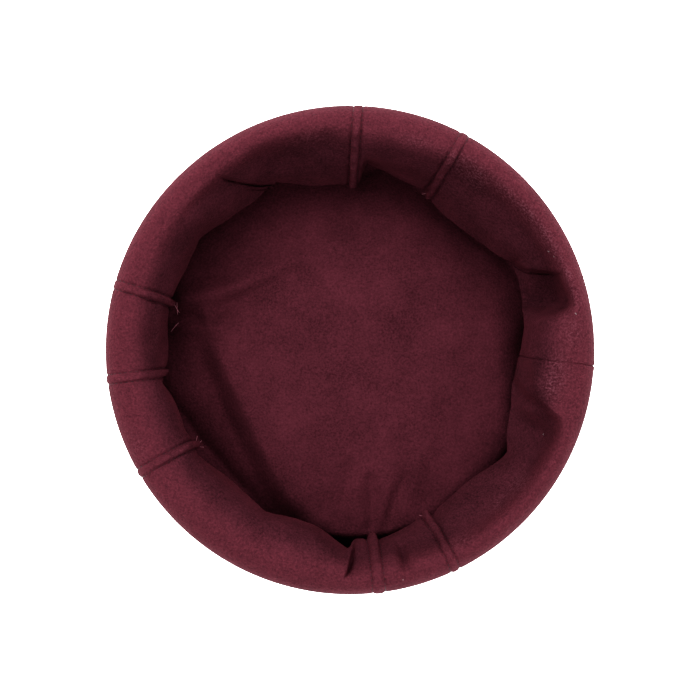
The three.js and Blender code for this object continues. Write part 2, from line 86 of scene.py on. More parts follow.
# The lines that run from the crown seam over the roll to the hem: angle on the rim, half way down
# the inside and at the hem. A fold also has a hollow beside it: side, depth, spread in degrees,
# softness of its edge, the radius where the hollow starts under the rim, with the softness of its
# brow there, the height at which its cloth comes to rest over the crown, and the depth of the
# narrow crevice where it goes in under the fold. A tuck's depth is the height that it stands to on
# the inside, and its spread a factor on its width.
LINES = np.array([
    # name, kind, rim, inside, hem, side, depth, spread, edge, top, brow, rest, crevice
    ("seam_lobe_edge", "fold",   11.5,   9.5,  12.0,  1, 17.0,  8.0, 8.0, 117.0, 6.0, 11.0, 0.0),
    ("right_lap",      "fold",   20.3,  21.8,  29.0, -1, 16.0,  9.0, 1.6, 116.0, 6.0,  9.0, 5.0),
    ("tuck_2",         "tuck",   62.0,  62.3,  63.5,  0,  1.5,  1.0, 1.0,   0.0, 1.0,  0.0, 0.0),
    ("tuck_1",         "tuck",   88.0,  88.6,  89.0,  0,  1.7,  1.0, 1.0,   0.0, 1.0,  0.0, 0.0),
    ("left_lap",       "fold",  131.0, 124.3, 114.2,  1,  7.0, 12.0, 1.2, 111.0, 5.0,  8.0, 8.0),
    ("tuck_8",         "tuck",  164.4, 164.7, 165.3,  0,  1.6,  1.0, 1.0,   0.0, 1.0,  0.0, 0.0),
    ("tuck_7",         "tuck",  187.0, 187.0, 187.0,  0,  1.0,  1.0, 1.0,   0.0, 1.0,  0.0, 0.0),
    ("tuck_6",         "tuck",  210.4, 210.6, 211.8,  0,  1.3,  1.0, 1.0,   0.0, 1.0,  0.0, 0.0),
    ("lower_lap",      "fold",  266.0, 270.0, 269.8,  1,  8.0,  3.0, 1.4, 116.0, 5.0, 20.0, 5.0),
    ("tuck_5",         "tuck",  276.9, 277.0, 276.8,  0,  1.5, 1.35, 1.0,   0.0, 1.0,  0.0, 0.0),
    ("tuck_4",         "tuck",  295.6, 295.8, 294.6,  0,  1.4,  1.0, 1.0,   0.0, 1.0,  0.0, 0.0),
    ("seam_lobe_fold", "fold",  340.5, 345.0, 352.5, -1, 10.0, 12.0, 6.0, 115.0, 6.0, 20.0, 0.0),
    ("closing_seam",   "seam",  356.3, 357.0, 358.0,  0,  0.0,  1.0, 1.0,   0.0, 1.0,  0.0, 0.0),
], dtype=[("name", "U16"), ("kind", "U4"), ("rim", float), ("inside", float), ("hem", float),
          ("side", float), ("depth", float), ("spread", float), ("edge", float), ("top", float),
          ("brow", float), ("rest", float), ("crevice", float)])
CREVICE_WIDTH = 0.9
LEAST_DROP = 0.01              # keeps a fold that has come to rest from being divided by nothing

# The hem's lobes: between two notches the hem swings in towards the middle and out again. A row
# gives the notch's and the tip's angle, radius and height, and the swell of the two flanks.
LOBES = np.array([
    # notch, radius, height, tip, radius, height, swell, fade
    (28.5, 96.8, 19, 53.0, 85.8, 14, 0.65, 0.6),
    (63.4, 92.4, 15, 68.5, 92.4, 15, 0.6, 1.2),
    (85.4, 98.2, 16, 87.6, 86.8, 14, 0.6, 1.0),
    (91.0, 87.2, 13, 96.0, 87.4, 13, 1.0, 1.0),
    (115.2, 96.3, 18, 128.0, 92.4, 20, 0.9, 1.1),
    (143.8, 97.6, 22, 156.0, 95.5, 24, 0.7, 1.2),
    (166.8, 97.0, 27, 180.0, 94.8, 28, 0.9, 0.3),
    (189.6, 101.0, 26, 200.5, 94.5, 26, 0.6, 1.4),
    (206.0, 95.8, 26, 210.8, 94.0, 25, 1.0, 0.5),
    (213.9, 97.5, 24, 231.0, 92.2, 24, 0.8, 0.8),
    (242.2, 95.5, 25, 252.0, 92.3, 27, 0.8, 0.85),
    (269.4, 103.6, 27, 272.4, 98.4, 26, 0.8, 1.0),
    (279.5, 99.0, 26, 294.4, 95.2, 25, 1.2, 0.8),
    (297.0, 96.8, 24, 309.0, 92.1, 27, 0.5, 1.5),
    (327.0, 97.0, 24, 348.5, 86.9, 26, 0.9, 1.8),
], dtype=[(name, float) for name in
          ("notch", "notch_r", "notch_z", "tip", "tip_r", "tip_z", "swell", "fade")])

# How the inside of the roll falls away: where it turns down into the inner wall, and how far the
# wall bellies out towards the middle.
FALL = np.array([
    # at, radius, height, belly
    (2, 96.5, 66, 0.5), (8.0, 99.5, 62, 1.0), (13.5, 112.5, 43, 0.0), (24, 109, 52, 3.0),
    (56, 106, 54, 3.0), (70, 101, 59, 1.0), (86, 100, 60, 1.0), (98, 103, 56, 3.0),
    (110, 106, 50, 2.0), (122, 104.5, 55, 0.5), (140, 102, 60, 1.5), (152, 100.5, 61, 2.0),
    (163, 99.5, 62, 2.0), (176, 100, 62, -0.5), (186, 99.5, 64, 1.0), (192, 97.5, 65, 2.0),
    (200, 96, 65, 2.0), (215, 97, 65, 3.0), (230, 97, 66, 3.5), (258, 97.5, 66, 3.5),
    (273, 104, 57, 1.0), (283, 105, 55, 1.5), (290, 106, 55, 2.0), (303, 108.5, 52, 3.0),
    (325, 110.5, 50, 2.5), (336, 111.5, 49, 1.0), (342.5, 100.5, 66, 0.0), (349, 94, 70, -1.5),
    (356, 94.5, 69, -1.0),
], dtype=[(name, float) for name in ("at", "break_r", "break_z", "belly")])

# Soft dents in the inner wall: angle, radius, depth, and half width round the hat and inwards.
DENTS = np.array([
    (112.0, 105.0, 4.6, 8.0, 4.0), (97.5, 106.0, 4.6, 8.0, 4.5), (284.5, 108.2, 12.0, 2.4, 6.0),
    (280.8, 107.0, -1.2, 2.5, 6.0), (289.6, 108.0, -1.2, 3.0, 6.0), (156.0, 99.0, 1.4, 12.0, 4.0),
    (54.0, 107.0, 1.2, 9.0, 4.0), (37.0, 108.5, 1.6, 9.0, 4.0), (321.0, 108.0, 1.2, 8.0, 4.0),
    (245.0, 103.0, 1.2, 8.0, 5.0), (176.0, 100.0, 1.2, 8.0, 4.0), (345.8, 115.0, 1.0, 1.4, 5.0),
    (274.0, 107.0, 2.0, 4.0, 7.0),
], dtype=[(name, float) for name in ("at", "radius", "depth", "around", "inward")])


def smooth(x):
    """0 below 0, 1 above 1, and 3x^2 - 2x^3 between."""
    x = np.clip(x, 0, 1)
    return x * x * (3 - 2 * x)


def apart(a, b):
    """The difference of two angles, from -180 to 180."""
    return (a - b + 180) % 360 - 180


def line_angle(line, row):
    """Where a line lies at a row: its rim angle up to the crest, then a parabola through the angle
    half way down the inside and the angle at the hem."""
    u = np.clip((row - CREST_ROW) / (HEM_ROW - CREST_ROW), 0, 1)
    return (line["rim"] * (2 * u - 1) * (u - 1) + line["inside"] * 4 * u * (1 - u)
            + line["hem"] * u * (2 * u - 1))


def hem_at(angle):
    """The hem's radius and height: a quarter sine from notch to tip, raised to the power of the
    flank's swell, and back out to the next notch in the same way."""
    angle = angle % 360
    here = np.searchsorted(LOBES["notch"], angle, side="right") - 1
    lobe = LOBES[here]
    after = LOBES[(here + 1) % len(LOBES)]
    gone = (angle - lobe["notch"]) % 360
    to_tip = (lobe["tip"] - lobe["notch"]) % 360
    width = (after["notch"] - lobe["notch"]) % 360
    rising = np.sin(np.clip(gone / to_tip, 0, 1) * np.pi / 2) ** lobe["swell"]
    falling = np.sin(np.clip((width - gone) / (width - to_tip), 0, 1) * np.pi / 2) ** lobe["fade"]
    up = gone <= to_tip
    reach = np.where(up, rising, falling)
    notch_r = np.where(up, lobe["notch_r"], after["notch_r"])
    notch_z = np.where(up, lobe["notch_z"], after["notch_z"])
    return (notch_r + (lobe["tip_r"] - notch_r) * reach,
            notch_z + (lobe["tip_z"] - notch_z) * reach)


def eased(table, columns, angle):
    """The columns of a table at an angle, eased from each row to the next round the hat."""
    angle = angle % 360
    here = np.searchsorted(table["at"], angle, side="right") - 1
    start, end = table[here], table[(here + 1) % len(table)]
    t = smooth(((angle - start["at"]) % 360) / ((end["at"] - start["at"]) % 360))
    return [start[name] + (end[name] - start[name]) * t for name in columns]


def patches(table, column, angle, radius):
    """The sum of a Gaussian for each row of a table, as high as the named column says, with its
    own half width round the hat and inwards."""
    total = np.zeros_like(radius)
    for patch in table:
        around = np.radians(apart(angle, patch["at"])) * patch["radius"] / patch["around"]
        inward = (radius - patch["radius"]) / patch["inward"]
        total += patch[column] * np.exp(-around**2 - inward**2)
    return total


def section(angle, row):
    """Radius and height of the strip: a uniform cubic B-spline of the section's ten corners, with
    a mirrored corner added at each end, so that it starts on the first, at the crown seam, and
    ends on the last, at the hem."""
    hem_r, hem_z = hem_at(angle)
    break_r, break_z, belly = eased(FALL, ("break_r", "break_z", "belly"), angle)
    shift = np.clip((break_r - SHIFT_START) / SHIFT_RANGE, 0, 1)
    one = np.ones_like(hem_r)
    radii = [SHOULDER_RADIUS + SHOULDER_SHIFT * shift, break_r,
             (break_r + hem_r) / 2 - belly, hem_r]
    heights = [SHOULDER_HEIGHT * one, break_z, (break_z + hem_z) / 2 + belly, hem_z]
    corners = np.array([[radius * one for radius in WALL["radius"]] + radii,
                        [height * one for height in WALL["height"]] + heights])
    before = 2 * corners[:, :1] - corners[:, 1:2]
    beyond = 2 * corners[:, -1:] - corners[:, -2:-1]
    corners = np.concatenate([before, corners, beyond], axis=1)
    span = np.minimum(np.floor(row), HEM_ROW - 1).astype(int)
    t = row - span
    weights = ((1 - t) ** 3 / 6, (3 * t**3 - 6 * t**2 + 4) / 6,
               (-3 * t**3 + 3 * t**2 + 3 * t + 1) / 6, t**3 / 6)
    return sum(w * np.take_along_axis(corners, np.broadcast_to(span + k, (2, 1) + span.shape),
                                      axis=1)[:, 0]
               for k, w in enumerate(weights))


def hollow_drop(angle, row, radius, height):
    """How far the cloth drops beside the folds: nothing on the fold's own side, the full depth
    just past its edge, easing back over its spread and up towards the rim. The wanted drop d and
    the limit L, where the cloth would come to rest, give d / cube root of (1 + (d / L) cubed), so
    it never passes the limit."""
    drop = np.zeros_like(radius)
    for line in LINES[LINES["kind"] == "fold"]:
        beside = line["side"] * apart(angle, line_angle(line, row))
        edge = smooth(np.radians(beside) * radius / line["edge"])
        ease = np.exp(-(np.maximum(beside, 0) / line["spread"]) ** 2)
        below = smooth((line["top"] - radius) / line["brow"]) * (row > CREST_ROW)
        past = (np.radians(beside) * radius - line["edge"]) / CREVICE_WIDTH
        wanted = line["depth"] * edge * ease + line["crevice"] * np.exp(-past**2)
        wanted *= below
        limit = np.maximum(height - drop - line["rest"], LEAST_DROP)
        drop += wanted / np.cbrt(1 + (wanted / limit) ** 3)
    return drop


WAVES = 16                     # in a ripple


def ripple(points, seed, height, shortest, longest):
    """A gentle unevenness: the sum of WAVES sine waves with seeded directions, lengths and phases,
    divided by the square root of their number, so that they keep one height in all."""
    rng = np.random.default_rng(seed)
    total = np.zeros(points.shape[:-1])
    for _ in range(WAVES):
        direction = rng.normal(size=3)
        direction /= np.linalg.norm(direction)
        length = rng.uniform(shortest, longest)
        total += np.sin(points @ direction * 2 * np.pi / length + rng.uniform(0, 2 * np.pi))
    return total * height / math.sqrt(WAVES)


def strip(angle, row):
    """The strip's face without its tucks, as x, y, z in millimetres: the section turned to its
    angle, let down beside the folds and in the dents."""
    radius, height = section(angle, row)
    turned = np.radians(angle)
    drop = hollow_drop(angle, row, radius, height)
    drop = drop + patches(DENTS, "depth", angle, radius) * (row > CREST_ROW)
    return np.stack([radius * np.cos(turned), radius * np.sin(turned), height - drop], axis=-1)


# The grid's rows lie closer on the inside than on the outer wall, and its columns crowd at each
# tuck, fold and seam, which they follow down to the hem.
WALL_RINGS, INSIDE_RINGS = 18, 58
rows = np.concatenate([np.linspace(0, ROLL_ROW, WALL_RINGS)[:-1],
                       np.linspace(ROLL_ROW, HEM_ROW, INSIDE_RINGS)])[:, None]
STITCH_LINE = 2.45             # from the middle of a tuck to the stitching along its foot
HELD = {"tuck": np.array([-4.2, -3.3, -2.9, -STITCH_LINE, -2.1, -1.8, -1.3, -0.6, 0.1, 0.7, 1.3,
                          1.8, 2.1, STITCH_LINE, 2.9, 3.3, 4.2]),
        "fold": np.array([-3, -2, -1.2, -0.6, 0, 0.3, 0.6, 0.9, 1.2, 1.5, 1.8, 2.2, 2.6, 3.2, 4]),
        "seam": np.array([-3, -1.5, -0.8, -0.5, -0.25, 0, 0.25, 0.5, 0.8, 1.5, 3])}
FAN_STEP = 0.8                 # degrees between plain columns


def held_columns(line):
    """The angles of the columns that keep a fixed distance in millimetres from a line."""
    offsets = HELD[line["kind"]] * (line["side"] or line["spread"])
    angle = line_angle(line, rows)
    return angle + np.degrees(np.sort(offsets) / section(angle, rows)[0])


bundles = [held_columns(line) for line in LINES]
columns = []
first_column = {}              # where each line's own columns start
for line, bundle, after in zip(LINES, bundles, bundles[1:] + bundles[:1]):
    first_column[str(line["name"])] = sum(part.shape[1] for part in columns)
    width = (after[:, :1] - bundle[:, -1:]) % 360
    count = int(round(width[0, 0] / FAN_STEP))
    columns += [bundle, bundle[:, -1:] + width * np.arange(1, count) / count]
angles = np.concatenate(columns, axis=1)
grid_rows = np.broadcast_to(rows, angles.shape)

# The face and its normals: the cross product of its slopes round the hat and along the strip.
SLOPE_DEGREES, SLOPE_ROWS = 0.2, 0.03      # the steps that the slopes are taken over
face = strip(angles, grid_rows)
around = strip(angles + SLOPE_DEGREES, grid_rows) - strip(angles - SLOPE_DEGREES, grid_rows)
along = (strip(angles, np.minimum(grid_rows + SLOPE_ROWS, HEM_ROW))
         - strip(angles, np.maximum(grid_rows - SLOPE_ROWS, 0)))
normal = np.cross(around, along)
normal /= np.linalg.norm(normal, axis=-1, keepdims=True)

# The outer wall is loose cloth: shallow upright rucks that start above the crown seam and are gone
# where it turns over the rim.
WALL_RUCKS = {"seed": 5, "height": 0.7, "shortest": 22, "longest": 60}
UPRIGHT = np.array([1, 1, 0.3])            # draws the rucks out along the height
LOOSE_ROW = 0.9                            # loose from here
TAUT_ROW, TAUT_FADE = 3.5, 1.2             # and taut again from here
loose = smooth(grid_rows / LOOSE_ROW) * smooth((TAUT_ROW - grid_rows) / TAUT_FADE)
face += normal * (ripple(face * UPRIGHT, **WALL_RUCKS) * loose)[..., None]
back = face - normal * CLOTH

# The nap's surface over the roll and down the inside is uneven too.
ROLL_RUCKS = {"seed": 11, "height": 0.35, "shortest": 16, "longest": 45}
ROLL_RUCKS_FADE = 1.5
over_roll = smooth((grid_rows - ROLL_ROW) / ROLL_RUCKS_FADE)
face += normal * (ripple(face, **ROLL_RUCKS) * over_roll)[..., None]

# The raw hem isn't cut quite true.
HEM_WOBBLE = {"seed": 17, "height": 0.25, "shortest": 9, "longest": 25}
WOBBLE_ROW, WOBBLE_FADE = 8.3, 0.7
at_hem = smooth((grid_rows - WOBBLE_ROW) / WOBBLE_FADE)[..., None]
inward_hem = -face * np.array([1, 1, 0]) / np.linalg.norm(face[..., :2], axis=-1)[..., None]
wobble = inward_hem * (ripple(face, **HEM_WOBBLE)[..., None] * at_hem)
face += wobble
back += wobble

# The tucks: a low ridge of doubled cloth, pinched along its foot by the stitching. It lies nearly
# flat over the rim, stands up on the inside, and its end stands a little past the hem.
TUCK_HALF_WIDTH = 2.1
TUCK_HEIGHT_OUTSIDE = 0.35
TUCK_RISE_ROW, TUCK_RISE = 4.2, 2.2        # where it starts to stand up, and over how many rows
TUCK_CREST = 0.6               # the power that rounds its back
TUCK_UNEVENNESS = {"seed": 23, "height": 0.5, "shortest": 5, "longest": 12}
STITCH_GROOVE = 0.8            # how deep the stitching pulls the cloth in
GROOVE_WIDTH = 0.6
GROOVE_OUTSIDE = 0.45          # the share of the groove's depth that shows on the outside
TUCK_OVERHANG = 0.7
OVERHANG_ROW, OVERHANG_FADE = 8.6, 0.4
radius_here = np.hypot(face[..., 0], face[..., 1])
proud = np.zeros(face.shape[:2])          # where a tuck's back stands clear of the band
for line in LINES[LINES["kind"] == "tuck"]:
    aside = np.radians(apart(angles, line_angle(line, grid_rows))) * radius_here
    aside /= line["spread"]
    across = np.abs(aside) / TUCK_HALF_WIDTH
    inside = smooth((grid_rows - TUCK_RISE_ROW) / TUCK_RISE)
    height = TUCK_HEIGHT_OUTSIDE + (line["depth"] - TUCK_HEIGHT_OUTSIDE) * inside
    height *= 1 + ripple(face, **TUCK_UNEVENNESS)
    ridge = np.clip(1 - across**3, 0, 1) ** TUCK_CREST
    groove = np.exp(-((np.abs(aside) - STITCH_LINE) / GROOVE_WIDTH) ** 2)
    groove *= STITCH_GROOVE * (GROOVE_OUTSIDE + (1 - GROOVE_OUTSIDE) * inside)
    face += normal * (ridge * height - groove)[..., None]
    proud = np.maximum(proud, np.clip(1 - across**4, 0, 1))
    at_end = smooth((grid_rows - OVERHANG_ROW) / OVERHANG_FADE)
    past_hem = (np.clip(1 - across**6, 0, 1) * at_end)[..., None]
    inward = -face / np.linalg.norm(face, axis=-1, keepdims=True)
    face += inward * past_hem * TUCK_OVERHANG
    back += inward * past_hem * TUCK_OVERHANG

# The closing seam: the two ends meet in a narrow groove between two low swells.
SEAM_GROOVE, SEAM_GROOVE_WIDTH = 0.8, 0.4
SEAM_SWELL, SEAM_SWELL_WIDTH = 0.3, 2.4
line = LINES[LINES["name"] == "closing_seam"][0]
aside = np.radians(apart(angles, line_angle(line, grid_rows))) * radius_here
face -= normal * (SEAM_GROOVE * np.exp(-(aside / SEAM_GROOVE_WIDTH) ** 2)
                  - SEAM_SWELL * np.exp(-(aside / SEAM_SWELL_WIDTH) ** 2))[..., None]


def quads_between(count_rows, count_columns, start=0):
    """The corners of each quad of a grid of rows by columns that runs round in a ring."""
    row, column = np.meshgrid(np.arange(count_rows - 1), np.arange(count_columns), indexing="ij")
    here = start + row * count_columns + column
    beside = start + row * count_columns + (column + 1) % count_columns
    return np.stack([here, beside, beside + count_columns, here + count_columns],
                    axis=-1).reshape(-1, 4)


def put_in_scene(name, data):
    """A new object in the scene, at the origin."""
    thing = bpy.data.objects.new(name, data)
    bpy.context.collection.objects.link(thing)
    return thing


def mesh_piece(name, points, faces):
    """A smooth-shaded object from points in millimetres and lists of corners."""
    mesh = bpy.data.meshes.new(name)
    mesh.from_pydata((points * MM).tolist(), [], faces)
    mesh.polygons.foreach_set("use_smooth", np.ones(len(mesh.polygons), bool))
    mesh.update()
    return put_in_scene(name, mesh)


def shell_mesh(name, outer, inner):
    """A closed wall from two grids with the same columns: the outer face, the inner face turned
    about, and a ring of quads along each free edge."""
    count = outer.shape[1]
    points = np.concatenate([outer.reshape(-1, 3), inner.reshape(-1, 3)])
    behind = outer.shape[0] * count
    ring = np.arange(count)
    turned = (ring + 1) % count
    high, high_behind = behind - count, len(points) - count
    low_edge = np.stack([ring + behind, turned + behind, turned, ring], axis=-1)
    high_edge = np.stack([ring + high, turned + high, turned + high_behind, ring + high_behind],
                         axis=-1)
    faces = np.concatenate([quads_between(outer.shape[0], count),
                            quads_between(inner.shape[0], count, behind)[:, ::-1],
                            low_edge, high_edge])
    return mesh_piece(name, points, faces.tolist())


# The hidden face is smooth, so it takes every third row.
back = np.concatenate([back[:-1:3], back[-1:]])

# The raw hem is rounded by its nap: half a turn from the face to the hidden face.
hem_face, hem_back = face[-1], back[-1]
beyond = face[-1] - face[-2]
beyond /= np.linalg.norm(beyond, axis=-1, keepdims=True)
turn = np.radians([30, 60, 90, 120, 150])[:, None, None]
rounding = ((hem_face + hem_back) / 2 + (hem_face - hem_back) / 2 * np.cos(turn)
            + beyond * CLOTH * HEM_ROUNDING * np.sin(turn))
face_and_hem = np.concatenate([face, rounding])
band = shell_mesh("band_fleece", face_and_hem, back)


def paint_layer(piece, name, values):
    """Stores a value from 0 to 1 at each vertex, for the material."""
    layer = piece.data.attributes.new(name, "FLOAT", "POINT")
    layer.data.foreach_set("value", np.ascontiguousarray(values, dtype=np.float32).ravel())


# The nap stands open over the rim, where the cloth is stretched round the roll, and lies closed in
# the hollows and under the hem. This layer also lightens the top of the roll, most of all its
# outer shoulder, as a painted highlight, so the hollows and the cloth under the hem keep the
# darker closed colour as painted shade. A tuck's back is a little open, and lighter as a painted
# highlight.
OPEN_AND_HIGHLIT_HEIGHT, OPEN_AND_HIGHLIT_HEIGHT_FADE = 52.0, 20.0
OPEN_AND_HIGHLIT_RADIUS, OPEN_AND_HIGHLIT_RADIUS_FADE = 98.0, 16.0
OPEN_AND_HIGHLIT_ON_TOP = 0.75             # the rest is left to the outer shoulder
OUTER_SHOULDER, OUTER_SHOULDER_FADE = 115.5, 5.0
OPEN_AND_HIGHLIT_ON_TUCKS = 0.26
nap_radius = np.hypot(face_and_hem[..., 0], face_and_hem[..., 1])
open_and_highlit_amount = (smooth((face_and_hem[..., 2] - OPEN_AND_HIGHLIT_HEIGHT) / OPEN_AND_HIGHLIT_HEIGHT_FADE)
          * smooth((nap_radius - OPEN_AND_HIGHLIT_RADIUS) / OPEN_AND_HIGHLIT_RADIUS_FADE))
open_and_highlit_amount *= OPEN_AND_HIGHLIT_ON_TOP + (1 - OPEN_AND_HIGHLIT_ON_TOP) * smooth(
    (nap_radius - OUTER_SHOULDER) / OUTER_SHOULDER_FADE)
open_and_highlit_amount[:len(proud)] = np.maximum(open_and_highlit_amount[:len(proud)], proud * OPEN_AND_HIGHLIT_ON_TUCKS)
paint_layer(band, "open_and_highlit", np.concatenate([open_and_highlit_amount.ravel(), np.zeros(back.size // 3)]))

# Pills: where the roll has been rubbed, loose fibre has felted into pale specks.
PILLS = np.array([
    # at, radius, half width round the hat and inwards, amount
    (72.0, 111.0, 9.0, 3.0, 0.5), (60.0, 110.0, 8.0, 4.0, 0.7), (54.0, 110.5, 8.0, 4.5, 0.9),
    (45.0, 112.5, 8.0, 3.5, 0.7), (38.0, 114.0, 7.0, 3.0, 0.9), (31.0, 115.0, 7.0, 3.0, 0.9),
    (25.0, 116.0, 6.0, 2.5, 0.7), (19.0, 117.0, 5.0, 2.5, 0.9), (13.5, 117.5, 5.0, 3.0, 0.8),
    (5.0, 113.0, 8.0, 5.0, 0.6), (355.0, 106.0, 8.0, 5.0, 0.6), (349.0, 104.0, 6.0, 5.0, 0.6),
    (322.0, 110.5, 6.0, 3.0, 0.6), (315.0, 109.0, 8.0, 2.5, 0.4), (100.0, 110.0, 12.0, 3.0, 0.4),
    (172.0, 99.4, 14.0, 1.3, 0.5), (204.0, 118.0, 9.0, 4.0, 0.3), (300.0, 112.0, 8.0, 3.0, 0.4),
], dtype=[(name, float) for name in ("at", "radius", "around", "inward", "amount")])
PILLS_LOWEST = 30.0            # nothing rubs the cloth below this height
nap_angle = np.degrees(np.arctan2(face_and_hem[..., 1], face_and_hem[..., 0]))
pills = np.minimum(patches(PILLS, "amount", nap_angle, nap_radius), 1)
pills *= face_and_hem[..., 2] > PILLS_LOWEST
paint_layer(band, "pills", np.concatenate([pills.ravel(), np.zeros(back.size // 3)]))


def linear(hex_colour):
    """An sRGB hex colour as linear red, green, blue and alpha."""
    srgb = np.array([int(hex_colour[i:i + 2], 16) for i in (1, 3, 5)]) / 255
    return tuple(np.where(srgb <= 0.04045, srgb / 12.92, ((srgb + 0.055) / 1.055) ** 2.4)) + (1,)


def add(tree, kind, links=(), **settings):
    """Adds a node, sets its inputs by name or its own properties, and links inputs to outputs."""
    node = tree.nodes.new(kind)
    for key, value in settings.items():
        if hasattr(node, key):
            setattr(node, key, value)
        else:
            node.inputs[key.replace("_", " ")].default_value = value
    for target, source in dict(links).items():
        tree.links.new(source, node.inputs[target])
    return node


# Brushed polyester fleece, piece-dyed burgundy: a dense matt nap that scatters light back at its
# edges. Closed, it shows tufts of about 1 mm. Where it is stretched it opens into clumps of 2 to
# 3 mm, paler at their tips, and everywhere it shades where it has been stroked flat. The open
# nap's colours are also lighter as a painted highlight over the top of the roll. A fibre is far
# too fine to show, so a tuft is the finest thing drawn.
NAP_NOISES = np.array([
    # name, size, detail, roughness, twist
    ("tufts", 1.1 * MM, 2.0, 0.7, 0.0),
    ("clumps", 1.9 * MM, 2.0, 0.6, 0.8),
    ("strokes", 22 * MM, 3.0, 0.6, 0.0),
    ("specks", 1.1 * MM, 2.0, 0.7, 0.0),
], dtype=[("name", "U16"), ("size", float), ("detail", float), ("roughness", float),
          ("twist", float)])
STROKE_SHARE = 0.35                        # of the closed nap's shading
CLUMP_SHARE = 0.35                         # of the open nap's
CLOSED_ROOTS, CLOSED_TIPS = 0.32, 0.68     # the grain at which each colour is full
OPEN_ROOTS, OPEN_TIPS = 0.3, 0.7
SPECKS_START, SPECKS_FULL = 0.46, 0.72
NAP_RELIEF = 0.9                           # the strength of both bumps
CLUMP_HEIGHT, TUFT_HEIGHT = 1.1 * MM, 0.5 * MM
BAND_NAP = ("#2e151b", "#5a2e38")          # dark roots and pale tips
# Lighter than the closed nap: real open clumps, and a painted highlight over the top of the roll.
OPEN_AND_HIGHLIT_NAP = ("#4b252e", "#6d3741")
PILL_COLOUR = "#744a54"
SHEEN_COLOUR = "#a84050"


def nap_colours(tree, grain, colours, roots, tips):
    """The nap's colour for a grain: its dark roots up to one value, its pale tips from another,
    and a straight mix between them."""
    ramp = add(tree, "ShaderNodeValToRGB", {"Fac": grain})
    for stop, position, colour in zip(ramp.color_ramp.elements, (roots, tips), colours):
        stop.position = position
        stop.color = linear(colour)
    return ramp.outputs["Color"]


def fleece(name, closed):
    """Brushed fleece with its own colours for the closed nap. The layer for open nap and painted
    highlight mixes that into the lighter open nap and raises the clumps, and the layer pills lets
    the pale specks through."""
    material = bpy.data.materials.new(name)
    material.use_nodes = True
    tree = material.node_tree
    tree.nodes.clear()
    place = add(tree, "ShaderNodeTexCoord").outputs["Object"]
    open_and_highlit, pilled = (add(tree, "ShaderNodeAttribute", attribute_name=layer).outputs["Fac"]
                    for layer in ("open_and_highlit", "pills"))
    tufts, clumps, strokes, specks = (
        add(tree, "ShaderNodeTexNoise", {"Vector": place}, Scale=1 / noise["size"],
            Detail=noise["detail"], Roughness=noise["roughness"],
            Distortion=noise["twist"]).outputs["Fac"]
        for noise in NAP_NOISES)
    closed_grain = add(tree, "ShaderNodeMix", {2: tufts, 3: strokes}, Factor=STROKE_SHARE)
    open_grain = add(tree, "ShaderNodeMix", {2: tufts, 3: clumps}, Factor=CLUMP_SHARE)
    closed_nap = nap_colours(tree, closed_grain.outputs[0], closed, CLOSED_ROOTS, CLOSED_TIPS)
    open_and_highlit_nap = nap_colours(tree, open_grain.outputs[0], OPEN_AND_HIGHLIT_NAP, OPEN_ROOTS, OPEN_TIPS)
    # Lighter where the nap is open and where the highlight over the roll is painted.
    colour = add(tree, "ShaderNodeMix", {0: open_and_highlit, 6: closed_nap, 7: open_and_highlit_nap}, data_type="RGBA")
    picked = add(tree, "ShaderNodeMapRange", {"Value": specks}, From_Min=SPECKS_START,
                 From_Max=SPECKS_FULL)
    speckled = add(tree, "ShaderNodeMath", {0: picked.outputs[0], 1: pilled}, operation="MULTIPLY")
    colour = add(tree, "ShaderNodeMix", {0: speckled.outputs[0], 6: colour.outputs[2]},
                 data_type="RGBA")
    colour.inputs[7].default_value = linear(PILL_COLOUR)
    raised = add(tree, "ShaderNodeMath", {0: clumps, 1: open_and_highlit}, operation="MULTIPLY")
    clump_bump = add(tree, "ShaderNodeBump", {"Height": raised.outputs[0]}, Strength=NAP_RELIEF,
                     Distance=CLUMP_HEIGHT)
    bump = add(tree, "ShaderNodeBump", {"Height": tufts, "Normal": clump_bump.outputs["Normal"]},
               Strength=NAP_RELIEF, Distance=TUFT_HEIGHT)
    surface = add(tree, "ShaderNodeBsdfPrincipled",
                  {"Base Color": colour.outputs[2], "Normal": bump.outputs["Normal"]},
                  Roughness=1.0, Specular_IOR_Level=0.1, Sheen_Weight=0.14, Sheen_Roughness=0.4,
                  Sheen_Tint=linear(SHEEN_COLOUR))
    add(tree, "ShaderNodeOutputMaterial", {"Surface": surface.outputs["BSDF"]})
    return material


band.data.materials.append(fleece("band_brushed_fleece", BAND_NAP))
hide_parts("rolled_band")
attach(band, "root")

# ======================================================================================
# The stitching of the tucks
# A row of lock stitches in polyester thread, dyed to match, holds each tuck along both sides of
# its foot. It sinks into the nap, so that mostly its shadow shows.
# ======================================================================================
STITCH_LENGTH = 2.3
STITCH_GAP = 0.6
FIRST_STITCH = 1.5             # along the strip from the crown seam
THREAD_RADIUS, THREAD_SIDES = 0.16, 6
STITCH_ALONG = np.array([0, 0.25, 0.75, 1])        # four places along a stitch
STITCH_RISE = np.array([-0.3, 0.0, 0.0, -0.3])     # off the cloth there
STITCH_GIRTH = np.array([0.6, 1, 1, 0.6])          # share of the thread's radius there


